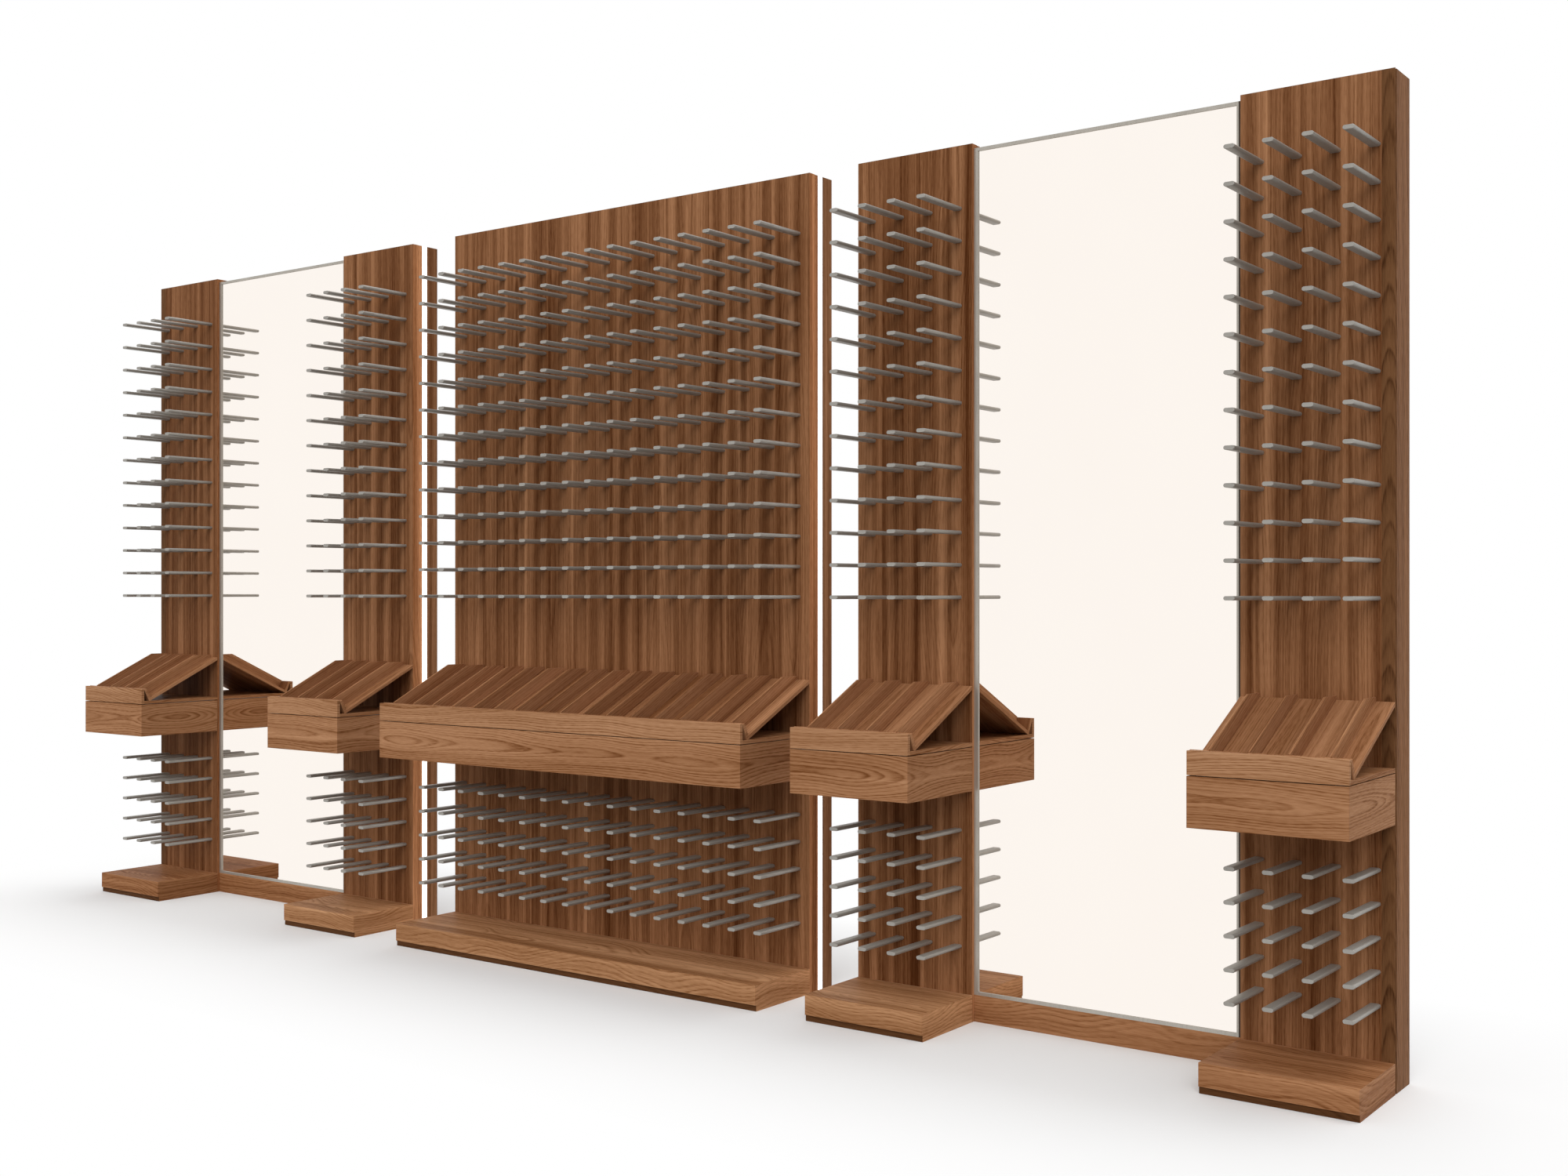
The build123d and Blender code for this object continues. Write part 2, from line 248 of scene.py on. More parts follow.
def make_walnut_figure():
    """Walnut veneer, leaf by leaf: each leaf is a flat cut through a log, and misses its heart by Heart.

    Its ring lines are arches over the leaf's middle and run straight beside it. Streaks, flecks and fibre
    go over them. Pale and Deep are display colours, so that the tones between them keep their warmth.
    """
    number, colour = "NodeSocketFloat", "NodeSocketColor"
    inputs = ["Along", "Across", "Leaf Width", "Leaf Contrast", "Off Centre"]
    inputs += ["Heart", "Taper", "Bend", "Bend Rate", "Ring Gap", "Ring Depth", "Streaks"]
    inputs = [(name, number) for name in inputs] + [("Pale", colour), ("Deep", colour)]
    sheet, given, out = new_group("walnut_figure", inputs, [("Color", colour), ("Grain", number)])
    across = given["Across"]

    leaf = sheet.math("FLOOR", sheet.math("DIVIDE", across, given["Leaf Width"]))
    chance = sheet.add("ShaderNodeTexWhiteNoise", {"W": leaf}, noise_dimensions="1D").outputs["Color"]
    shift, depth, tone = sheet.add("ShaderNodeSeparateColor", {0: chance}).outputs
    along = sheet.math("ADD", given["Along"], sheet.math("MULTIPLY", shift, LEAF_SPREAD))

    def grain_noise(along_rate, across_rate, level=0.0, detail=1.0, roughness=0.5):
        """Noise that changes this often in a metre along and across the grain."""
        length = sheet.math("MULTIPLY", along, along_rate)
        place = sheet.vector(length, sheet.math("MULTIPLY", across, across_rate), level)
        return sheet.noise(place, detail, roughness)

    def swing(noise, amount):
        """A noise about zero, times the amount."""
        return sheet.math("MULTIPLY", sheet.math("SUBTRACT", noise, 0.5), amount)

    middle = sheet.math("MULTIPLY", sheet.math("ADD", leaf, 0.5), given["Leaf Width"])
    aside = sheet.math("ADD", sheet.math("SUBTRACT", across, middle), swing(depth, given["Off Centre"]))
    squares = [sheet.math("MULTIPLY", side, side) for side in (aside, given["Heart"])]
    radius = sheet.math("SQRT", sheet.math("ADD", *squares))
    for change in (
        sheet.math("MULTIPLY", along, given["Taper"]),
        swing(grain_noise(given["Bend Rate"], 3.0, sheet.math("MULTIPLY", depth, 9.0)), given["Bend"]),
        swing(grain_noise(5.0, 24.0, level=4.0), RING_RIPPLE),
    ):
        radius = sheet.math("ADD", radius, change)
    year = sheet.math("DIVIDE", radius, given["Ring Gap"])
    years = sheet.vector(sheet.math("MULTIPLY", year, 0.45), shift)
    unevenness = swing(sheet.noise(years), RING_UNEVENNESS)
    waver = swing(grain_noise(9.0, 150.0), RING_WAVER)
    phase = sheet.math("ADD", sheet.math("ADD", year, unevenness), waver)
    turn = sheet.math("FRACT", phase)
    growth = sheet.spread(turn, LATE_WOOD_START, LATE_WOOD_PEAK, 0.0, 1.0)
    rise = sheet.math("POWER", growth, LATE_WOOD_RISE)
    late_wood = sheet.math("MULTIPLY", rise, sheet.spread(turn, LATE_WOOD_PEAK, 1.0, 1.0, 0.0))
    patch = sheet.vector(sheet.math("MULTIPLY", along, 1.4), sheet.math("MULTIPLY", phase, 0.7), shift)
    strength = sheet.spread(sheet.noise(patch), 0.35, 0.65, 0.25, 1.0)
    flecks = sheet.spread(grain_noise(34.0, 390.0, level=3.0), 0.4, 0.62, 0.0, 1.0)
    rings = sheet.math("MULTIPLY", late_wood, strength)
    lines = sheet.math("MULTIPLY", rings, sheet.blend(flecks, 0.6, 1.0))

    streak = swing(grain_noise(0.4, 36.0, level=depth, detail=3.0), STREAK_TONE)
    fine_streak = swing(grain_noise(1.3, 260.0, level=depth, detail=2.0), FINE_STREAK_TONE)
    fibre = swing(grain_noise(9.0, 700.0, detail=2.0, roughness=0.55), FIBRE_TONE)
    cloud = swing(grain_noise(1.1, 9.0, level=7.0, detail=2.0), CLOUD_TONE)
    streaks = sheet.math("MULTIPLY", sheet.math("ADD", streak, fine_streak), given["Streaks"])
    light = sheet.math("ADD", MIDDLE_TONE, streaks)
    for change in (swing(tone, given["Leaf Contrast"]), cloud, fibre):
        light = sheet.math("ADD", light, change)
    for marks, amount in ((lines, given["Ring Depth"]), (flecks, FLECK_TONE)):
        light = sheet.math("SUBTRACT", light, sheet.math("MULTIPLY", marks, amount))
    clamped = sheet.add("ShaderNodeClamp", {"Value": light}).outputs[0]
    shown = sheet.mix_colour(clamped, given["Deep"], given["Pale"])
    colours = sheet.add("ShaderNodeGamma", {"Color": shown, "Gamma": DISPLAY_GAMMA})
    sheet.feed(out.inputs["Color"], colours.outputs[0])
    hollows = [sheet.math("MULTIPLY", lines, RING_HOLLOW), sheet.math("MULTIPLY", flecks, FLECK_HOLLOW)]
    sheet.feed(out.inputs["Grain"], sheet.math("SUBTRACT", fibre, sheet.math("ADD", *hollows)))
    return sheet.tree


def make_satin_lines():
    """Satin metal: fine lines along the axis with the lowest Line Rate, over a faint cloudiness."""
    number, colour, place = "NodeSocketFloat", "NodeSocketColor", "NodeSocketVector"
    inputs = [("Place", place), ("Line Rate", place), ("Pale", colour), ("Deep", colour)]
    outputs = [("Color", colour), ("Tone", number), ("Lines", number)]
    sheet, given, out = new_group("satin_lines", inputs, outputs)
    feeds = {0: given["Place"], 1: given["Line Rate"]}
    stretched = sheet.add("ShaderNodeVectorMath", feeds, operation="MULTIPLY").outputs[0]
    lines = sheet.noise(stretched)
    cloud = sheet.noise(given["Place"], scale=9.0)
    both = sheet.math("ADD", sheet.math("MULTIPLY", lines, 0.6), sheet.math("MULTIPLY", cloud, 0.4))
    tone = sheet.spread(both, 0.3, 0.7, 0.0, 1.0)
    sheet.feed(out.inputs["Color"], sheet.mix_colour(tone, given["Deep"], given["Pale"]))
    sheet.feed(out.inputs["Tone"], tone)
    sheet.feed(out.inputs["Lines"], lines)
    return sheet.tree


def new_material(name):
    """A material with its sheet and its one Principled shader."""
    material = bpy.data.materials.new(name)
    material.use_nodes = True
    return material, NodeSheet(material.node_tree), material.node_tree.nodes["Principled BSDF"]


def upright_grain(sheet):
    """Grain that stands upright, and runs along X on the top and bottom edges."""
    x, y, z = sheet.place()
    _, level, _ = sheet.facing()
    across = sheet.math("ADD", x, y)
    return sheet.blend(level, z, x), sheet.blend(level, across, y)


def level_grain(front, seam):
    """Grain that runs along X and goes on round the corners and over the front edge of a box.

    The front is its Y, and the seam a height at which one leaf ends and the next begins.
    """

    def lay(sheet):
        x, y, z = sheet.place()
        sideways, level, side = sheet.facing()
        back = sheet.math("SUBTRACT", y, front)
        along = sheet.math("ADD", x, sheet.math("MULTIPLY", sideways, sheet.math("MULTIPLY", side, back)))
        height = sheet.math("SUBTRACT", z, seam)
        return along, sheet.math("ADD", height, sheet.math("MULTIPLY", level, back))

    return lay


def slope_grain(seam):
    """Grain that runs up the cradle's slope, with a new leaf at the seam, an X, and at each fin."""

    def lay(sheet):
        x, y, z = sheet.place()
        sideways, _, _ = sheet.facing()
        runs = [sheet.math("MULTIPLY", y, cos(CRADLE_TILT)), sheet.math("MULTIPLY", z, sin(CRADLE_TILT))]
        rises = [sheet.math("MULTIPLY", z, cos(CRADLE_TILT)), sheet.math("MULTIPLY", y, sin(CRADLE_TILT))]
        own_length = sheet.math("MULTIPLY", sideways, sheet.math("MULTIPLY", x, FIN_GRAIN_SHIFT))
        along = sheet.math("ADD", sheet.math("ADD", *runs), own_length)
        return along, sheet.blend(sideways, sheet.math("SUBTRACT", x, seam), sheet.math("SUBTRACT", *rises))

    return lay


def make_walnut(name, lay, pale, deep, cut, painted_side_light=1.0):
    """Satin walnut with the grain laid by the given rule and the figure of the given cut.

    The painted side light is how much lighter the faces that look sideways are painted than the others.
    """
    material, sheet, shader = new_material(name)
    along, across = lay(sheet)
    feeds = {"Along": along, "Across": across, "Pale": pale, "Deep": deep, **cut}
    figure = sheet.add("ShaderNodeGroup", feeds, node_tree=walnut_figure).outputs
    grain = figure["Grain"]
    # Painted light: faces that look sideways are lightened by the painted side light
    sideways, _, _ = sheet.facing()
    tone = sheet.blend(sideways, 1.0, painted_side_light)
    tinted = sheet.add("ShaderNodeVectorMath", {0: figure["Color"], "Scale": tone}, operation="SCALE")
    sheet.feed(shader.inputs["Base Color"], tinted.outputs[0])
    sheet.feed(shader.inputs["Roughness"], sheet.spread(grain, -0.4, 0.3, 0.56, 0.38))
    shader.inputs["Specular IOR Level"].default_value = 0.03
    bump = sheet.add("ShaderNodeBump", {"Height": grain, "Strength": 0.25, "Distance": 0.0004})
    sheet.feed(shader.inputs["Normal"], bump.outputs[0])
    return material


def make_metal(name, pale, deep, direction, roughness, metallic, joints=()):
    """Satin metal with its lines along one axis, and a line of painted shade left of each given X."""
    material, sheet, shader = new_material(name)
    feeds = {"Place": sheet.coordinates(), "Line Rate": LINE_RATES[direction], "Pale": pale, "Deep": deep}
    satin = sheet.add("ShaderNodeGroup", feeds, node_tree=satin_lines).outputs
    shown = satin["Color"]
    # Painted shade: a dark strip at the frame's right end, where the panel beside it casts its shadow
    for joint in joints:
        x, _, _ = sheet.place()
        aside = sheet.math("ABSOLUTE", sheet.math("SUBTRACT", x, joint - SHADE_LINE_WIDTH / 2))
        shown = sheet.mix_colour(sheet.math("LESS_THAN", aside, SHADE_LINE_WIDTH / 2), shown, PAINTED_SHADE_TONE)
    sheet.feed(shader.inputs["Base Color"], shown)
    dull, bright = roughness + 0.06, roughness - 0.06
    sheet.feed(shader.inputs["Roughness"], sheet.spread(satin["Tone"], 0.0, 1.0, dull, bright))
    shader.inputs["Metallic"].default_value = metallic
    bump = sheet.add("ShaderNodeBump", {"Height": satin["Lines"], "Strength": 0.15, "Distance": 0.0002})
    sheet.feed(shader.inputs["Normal"], bump.outputs[0])
    return material


def make_mirror():
    """Silvered glass with a faint warm tint, and grey backing paint on its rear face."""
    material, sheet, shader = new_material("mirror_silver")
    _, y, _ = sheet.place()
    _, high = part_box("left_mirror")
    rear = sheet.math("GREATER_THAN", y, high.y - MIRROR_PAINT)
    cloud = sheet.noise(sheet.coordinates(), scale=3.0)
    silver = sheet.mix_colour(cloud, (0.97, 0.905, 0.845, 1.0), (0.985, 0.925, 0.865, 1.0))
    speckle = sheet.noise(sheet.coordinates(), scale=60.0)
    paint = sheet.mix_colour(speckle, (0.16, 0.17, 0.17, 1.0), (0.2, 0.21, 0.21, 1.0))
    sheet.feed(shader.inputs["Base Color"], sheet.mix_colour(rear, silver, paint))
    sheet.feed(shader.inputs["Metallic"], sheet.math("SUBTRACT", 1.0, rear))
    sheet.feed(shader.inputs["Roughness"], sheet.spread(rear, 0.0, 1.0, 0.012, 0.6))
    return material


def make_opal():
    """Frosted opal diffuser, softly lit from inside."""
    material, sheet, shader = new_material("opal_diffuser")
    frost = sheet.noise(sheet.coordinates(), scale=700.0)
    shade = sheet.mix_colour(frost, (0.88, 0.87, 0.84, 1.0), (0.95, 0.94, 0.92, 1.0))
    sheet.feed(shader.inputs["Base Color"], shade)
    sheet.feed(shader.inputs["Emission Color"], shade)
    shader.inputs["Emission Strength"].default_value = 3.0
    shader.inputs["Roughness"].default_value = 0.55
    return material


walnut_figure = make_walnut_figure()
satin_lines = make_satin_lines()

# Cuts of the veneer, as values for the walnut figure
STRIPED = {"Leaf Width": 0.128, "Leaf Contrast": 0.2, "Off Centre": 0.2, "Heart": 0.03, "Taper": 0.012}
STRIPED.update({"Bend": 0.1, "Bend Rate": 1.1, "Ring Gap": 0.0085, "Ring Depth": 0.3, "Streaks": 1.45})
FIGURED = {"Leaf Width": 0.125, "Leaf Contrast": 0.0, "Off Centre": 0.03, "Heart": 0.022, "Taper": 0.02}
FIGURED.update({"Bend": 0.13, "Bend Rate": 1.7, "Ring Gap": 0.0065, "Ring Depth": 0.68, "Streaks": 0.6})
WIDE = {**FIGURED, "Leaf Width": 0.3, "Off Centre": 0.0, "Heart": 0.03, "Bend": 0.24, "Bend Rate": 2.4}
WIDE.update({"Ring Gap": 0.0115, "Ring Depth": 0.42, "Streaks": 0.9})
ARCHED = {**FIGURED, "Leaf Width": 0.345, "Off Centre": 0.0, "Taper": 0.12, "Bend": 0.06}
ARCHED.update({"Ring Gap": 0.011, "Ring Depth": 0.6, "Streaks": 0.5})
SLOPED = {**FIGURED, "Leaf Width": COLUMN_PITCH, "Leaf Contrast": 0.4, "Off Centre": 0.16, "Bend": 0.04}
SLOPED.update({"Ring Gap": 0.007, "Ring Depth": 0.42, "Streaks": 0.8})

# Pale and deep tones of the walnut pieces and metals, and the tone of the painted shade line on a mirror
# frame
LEDGE_TONES = (0.79, 0.60, 0.455, 1.0), (0.45, 0.28, 0.165, 1.0)
LIP_TONES = (0.84, 0.655, 0.510, 1.0), (0.49, 0.32, 0.200, 1.0)
# Cradle: deeper than the ledge, as painted shade against the fuller light on its upward slope
CRADLE_TONES = (0.72, 0.53, 0.390, 1.0), (0.40, 0.245, 0.145, 1.0)
PLINTH_TONES = (0.79, 0.585, 0.430, 1.0), (0.42, 0.25, 0.140, 1.0)
# Inner plinths are paler: partly their own tone, partly painted light against the shade the units around
# them cast
INNER_PLINTH_TONES = (0.875, 0.675, 0.51, 1.0), (0.455, 0.285, 0.165, 1.0)
PANEL_TONES = (0.68, 0.49, 0.352, 1.0), (0.32, 0.184, 0.1, 1.0)
END_TONES = (0.56, 0.40, 0.275, 1.0), (0.272, 0.172, 0.104, 1.0)
FRAME_TONES = (0.66, 0.485, 0.355, 1.0), (0.36, 0.22, 0.130, 1.0)
TOE_TONES = (0.44, 0.30, 0.200, 1.0), (0.28, 0.18, 0.110, 1.0)
PEG_TONES = (0.39, 0.37, 0.335, 1.0), (0.31, 0.29, 0.26, 1.0)
MIRROR_FRAME_TONES = (0.50, 0.465, 0.41, 1.0), (0.38, 0.35, 0.305, 1.0)
RUNNER_TONES = (0.62, 0.62, 0.62, 1.0), (0.45, 0.46, 0.47, 1.0)
PAINTED_SHADE_TONE = (0.03, 0.02, 0.013, 1.0)

ledge_lay = level_grain(LEDGE_FRONT, REVEAL_HEIGHT)
plinth_lay = level_grain(PLINTH_FRONT, 0.0)
# X of each mirror frame's right end, where the painted shade line goes
frame_shaded_edges = [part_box(f"{side}_mirror_frame")[1].x for side in SIDES]
inner_plinth_cut = (*INNER_PLINTH_TONES, WIDE, INNER_PLINTH_PAINTED_SIDE_LIGHT)
looks = {
    "panel": make_walnut("walnut_upright", upright_grain, *PANEL_TONES, STRIPED, PANEL_PAINTED_SIDE_LIGHT),
    "end": make_walnut("walnut_end", upright_grain, *END_TONES, ARCHED, END_PAINTED_SIDE_LIGHT),
    "ledge": make_walnut("walnut_ledge", ledge_lay, *LEDGE_TONES, FIGURED),
    "lip": make_walnut("walnut_lip", ledge_lay, *LIP_TONES, FIGURED),
    "plinth": make_walnut("walnut_plinth", plinth_lay, *PLINTH_TONES, WIDE),
    "inner_plinth": make_walnut("walnut_inner_plinth", plinth_lay, *inner_plinth_cut),
    "frame": make_walnut("walnut_frame", upright_grain, *FRAME_TONES, STRIPED),
    "rail": make_walnut("walnut_rail", level_grain(0.0, 0.0), *FRAME_TONES, WIDE),
    "toe": make_walnut("walnut_toe", plinth_lay, *TOE_TONES, WIDE),
    "peg": make_metal("peg_anodised", *PEG_TONES, "Y", roughness=0.42, metallic=0.3),
    "mirror_frame": make_metal(
        "frame_satin", *MIRROR_FRAME_TONES, "Z", roughness=0.38, metallic=0.6, joints=frame_shaded_edges
    ),
    "runner": make_metal("runner_zinc", *RUNNER_TONES, "Y", roughness=0.35, metallic=1.0),
    "mirror": make_mirror(),
    "opal": make_opal(),
}
for unit in UNITS:
    first_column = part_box(f"{unit}_pegs")[0].x + PEG_WIDTH / 2
    name, lay = f"walnut_{unit}_cradle", slope_grain(first_column)
    looks[f"{unit}_cradle"] = make_walnut(name, lay, *CRADLE_TONES, SLOPED, FIN_PAINTED_SIDE_LIGHT)


def prism(first_ring, second_ring):
    """Corners and faces of a board between two rings with as many corners each."""
    count = len(first_ring)
    faces = [list(range(count)), list(range(count, 2 * count))]
    for i in range(count):
        before = (i - 1) % count
        faces.append([before, i, count + i, count + before])
    return first_ring + second_ring, faces


def plan_board(outline, bottom, top):
    """Upright prism with the given plan."""
    return prism([(x, y, bottom) for x, y in outline], [(x, y, top) for x, y in outline])


def square_board(low, high):
    """Board between two corners."""
    outline = [(low[0], low[1]), (high[0], low[1]), (high[0], high[1]), (low[0], high[1])]
    return plan_board(outline, low[2], high[2])


def profile_board(profile, left, right):
    """Prism along X with the given (y, z) outline in side view."""
    return prism([(left, y, z) for y, z in profile], [(right, y, z) for y, z in profile])


def eased_mesh(name, boards):
    """One mesh of separate closed boards with all edges eased."""
    mesh = bpy.data.meshes.new(name)
    joined = bmesh.new()
    for corners, faces in boards:
        solid = bmesh.new()
        points = [solid.verts.new(corner) for corner in corners]
        for face in faces:
            solid.faces.new([points[i] for i in face])
        bmesh.ops.recalc_face_normals(solid, faces=solid.faces)
        settings = {"offset": BOARD_EASE, "segments": 2, "profile": 0.5, "affect": "EDGES"}
        eased = bmesh.ops.bevel(solid, geom=solid.edges[:], **settings)
        for face in eased["faces"]:
            face.smooth = True
        board = bpy.data.meshes.new("board")
        solid.to_mesh(board)
        joined.from_mesh(board)
        bpy.data.meshes.remove(board)
        solid.free()
    joined.to_mesh(mesh)
    joined.free()
    return mesh


def dress(name, mesh, node, look, body="root"):
    """Put a finished mesh in the place of its solid, or of a part of it."""
    piece = bpy.data.objects.new(f"{name}_dressed", mesh)
    mesh.materials.clear()
    mesh.materials.append(looks[look])
    bpy.context.scene.collection.objects.link(piece)
    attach(piece, body)
    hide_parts(node)


def on_slope(along, above):
    """(y, z) of a point given along and above the cradle's underside, from its foot."""
    return (
        CRADLE_FOOT[0] + along * cos(CRADLE_TILT) - above * sin(CRADLE_TILT),
        CRADLE_FOOT[1] + along * sin(CRADLE_TILT) + above * cos(CRADLE_TILT),
    )


def panel_boards(low, high):
    """Front leaf, and the backing that is a little narrower."""
    joint = low.y + PANEL_THICKNESS
    left, right = low.x + BACKING_INSET, high.x - BACKING_INSET
    leaf = square_board(low, (high.x, joint, high.z))
    return [leaf, square_board((left, joint, low.z), (right, high.y, high.z))]


def cradle_boards(low, high):
    """Sloping back board, and the toe board square to it."""
    reach = (high.y - CRADLE_FOOT[0]) / cos(CRADLE_TILT)
    lift = CRADLE_BOARD * sin(CRADLE_TILT) / cos(CRADLE_TILT)
    back = [(CRADLE_BOARD, 0.0), (reach, 0.0), (reach + lift, CRADLE_BOARD), (CRADLE_BOARD, CRADLE_BOARD)]
    toe = [
        (0.0, CRADLE_TOE),
        (CRADLE_BOARD, CRADLE_TOE),
        (CRADLE_BOARD, 0.0),
        (CRADLE_FOOT_FLAT / sin(CRADLE_TILT), 0.0),
        (0.0, CRADLE_FOOT_FLAT / cos(CRADLE_TILT)),
    ]
    profiles = [[on_slope(*corner) for corner in corners] for corners in (back, toe)]
    return [profile_board(profile, low.x, high.x) for profile in profiles]


def drawer_front_boards(low, high):
    """Front board with mitred ends."""
    left, right = low.x + DRAWER_WALL, high.x - DRAWER_WALL
    outline = [(low.x, low.y), (high.x, low.y), (right, high.y), (left, high.y)]
    return [plan_board(outline, low.z, high.z)]


def plinth_boards(low, high):
    """Top, front and two sides, mitred together, with the sides cut back and mitred again at the toe."""
    left, right = low.x + PLINTH_BOARD, high.x - PLINTH_BOARD
    inside, under = low.y + PLINTH_BOARD, high.z - PLINTH_BOARD
    lower_plan = [(left, inside), (right, inside), (right, high.y), (left, high.y)]
    upper_plan = [(low.x, low.y), (high.x, low.y), (high.x, high.y), (low.x, high.y)]
    lower = [(x, y, under) for x, y in lower_plan]
    upper = [(x, y, high.z) for x, y in upper_plan]
    outer = [(low.x, TOE_HEIGHT), (high.x, TOE_HEIGHT), (high.x, high.z), (low.x, high.z)]
    inner = [(left, TOE_HEIGHT), (right, TOE_HEIGHT), (right, under), (left, under)]
    front = prism([(x, low.y, z) for x, z in outer], [(x, inside, z) for x, z in inner])
    boards = [prism(lower, upper), front]
    toe_front, toe_reach = low.y + TOE_SETBACK, PLINTH_BOARD - TOE_SETBACK
    left_side = (low.x, left, low.x + toe_reach)
    right_side = (high.x, right, high.x - toe_reach)
    for outer_x, inner_x, toe_x in (left_side, right_side):
        corners = [
            (outer_x, low.y, TOE_HEIGHT),
            (outer_x, low.y, high.z),
            (outer_x, high.y, high.z),
            (outer_x, high.y, 0.0),
            (outer_x, toe_front, 0.0),
            (outer_x, toe_front, TOE_HEIGHT),
            (inner_x, inside, 0.0),
            (inner_x, inside, under),
            (inner_x, high.y, under),
            (inner_x, high.y, 0.0),
            (inner_x, inside, TOE_HEIGHT),
            (toe_x, inside, TOE_HEIGHT),
            (toe_x, inside, 0.0),
        ]
        boards.append((corners, PLINTH_SIDE_FACES))
    return boards


def toe_board(low, high):
    """Board under a plinth's front, set back a little, with mitred ends."""
    front, reach = low.y + TOE_SETBACK, PLINTH_BOARD - TOE_SETBACK
    back = front + reach
    outline = [(low.x, front), (high.x, front), (high.x - reach, back), (low.x + reach, back)]
    return plan_board(outline, 0.0, TOE_HEIGHT)


def end_boards(low, high):
    """Board at each outer end, with a shadow groove beside its front corner."""
    groove_front = low.y + GROOVE_SETBACK
    groove_back = groove_front + GROOVE_WIDTH
    boards = []
    for outer, inward in ((low.x, 1.0), (high.x, -1.0)):
        inner, groove = outer + inward * END_THICKNESS, outer + inward * GROOVE_DEPTH
        outline = [(inner, low.y), (outer, low.y), (outer, groove_front), (groove, groove_front)]
        outline += [(groove, groove_back), (outer, groove_back), (outer, high.y), (inner, high.y)]
        boards.append(plan_board(outline, low.z, high.z))
    return boards


def frame_uprights(low, high):
    """The two uprights at a rear frame's sides."""
    front = high.y - FRAME_DEPTH
    sides = ((low.x, low.x + UPRIGHT_WIDTH), (high.x - UPRIGHT_WIDTH, high.x))
    return [square_board((left, front, low.z), (right, high.y, high.z)) for left, right in sides]


def frame_rails(low, high):
    """The three rails between a rear frame's uprights, which reach forward to the panel."""
    left, right = low.x + UPRIGHT_WIDTH, high.x - UPRIGHT_WIDTH
    feet = (low.z, MIDDLE_RAIL_FOOT, high.z - RAIL_HEIGHT)
    return [square_board((left, low.y, foot), (right, high.y, foot + RAIL_HEIGHT)) for foot in feet]


def single_board(low, high):
    return [square_board(low, high)]


BOARD_KINDS = (
    ("panel", "panel", panel_boards, "panel"),
    ("rear_uprights", "rear_frame", frame_uprights, "frame"),
    ("rear_rails", "rear_frame", frame_rails, "rail"),
    ("shelf", "shelf", single_board, "ledge"),
    ("lip", "lip", single_board, "lip"),
    ("drawer_front", "drawer_front", drawer_front_boards, "ledge"),
    ("plinth", "plinth", plinth_boards, "plinth"),
)
for unit in UNITS:
    for kind, solid, make_boards, look in BOARD_KINDS:
        name, node = f"{unit}_{kind}", f"{unit}_{solid}"
        body = f"{unit}_drawer" if kind == "drawer_front" else "root"
        if kind == "plinth" and unit in INNER_UNITS:
            look = "inner_plinth"
        dress(name, eased_mesh(name, make_boards(*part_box(node))), node, look, body)
    name = f"{unit}_cradle"
    dress(name, eased_mesh(name, cradle_boards(*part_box(name))), name, name)
for side in SIDES:
    name = f"{side}_skirting"
    dress(name, eased_mesh(name, single_board(*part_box(name))), name, "plinth")
dress("end_panels", eased_mesh("end_panels", end_boards(*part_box("end_panels"))), "end_panels", "end")
toe_boards = [toe_board(*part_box(f"{unit}_plinth")) for unit in UNITS]
dress("toe_kicks", eased_mesh("toe_kicks", toe_boards), "toe_kicks", "toe")


def new_tree(name, inputs):
    """An empty geometry node tree with named inputs and one geometry output."""
    tree = bpy.data.node_groups.new(name, "GeometryNodeTree")
    for socket, kind in inputs:
        tree.interface.new_socket(socket, in_out="INPUT", socket_type=kind)
    tree.interface.new_socket("Geometry", in_out="OUTPUT", socket_type="NodeSocketGeometry")
    sheet = NodeSheet(tree)
    return sheet, sheet.add("NodeGroupInput").outputs, sheet.add("NodeGroupOutput")


def line_of_points(sheet, count, start, step):
    feeds = {"Count": count, "Start Location": start, "Offset": step}
    return sheet.add("GeometryNodeMeshLine", feeds).outputs[0]


def repeat(sheet, points, instance):
    """Copies of a shape at each point, as plain geometry."""
    copies = sheet.add("GeometryNodeInstanceOnPoints", {"Points": points, "Instance": instance})
    return sheet.add("GeometryNodeRealizeInstances", {0: copies.outputs[0]}).outputs[0]


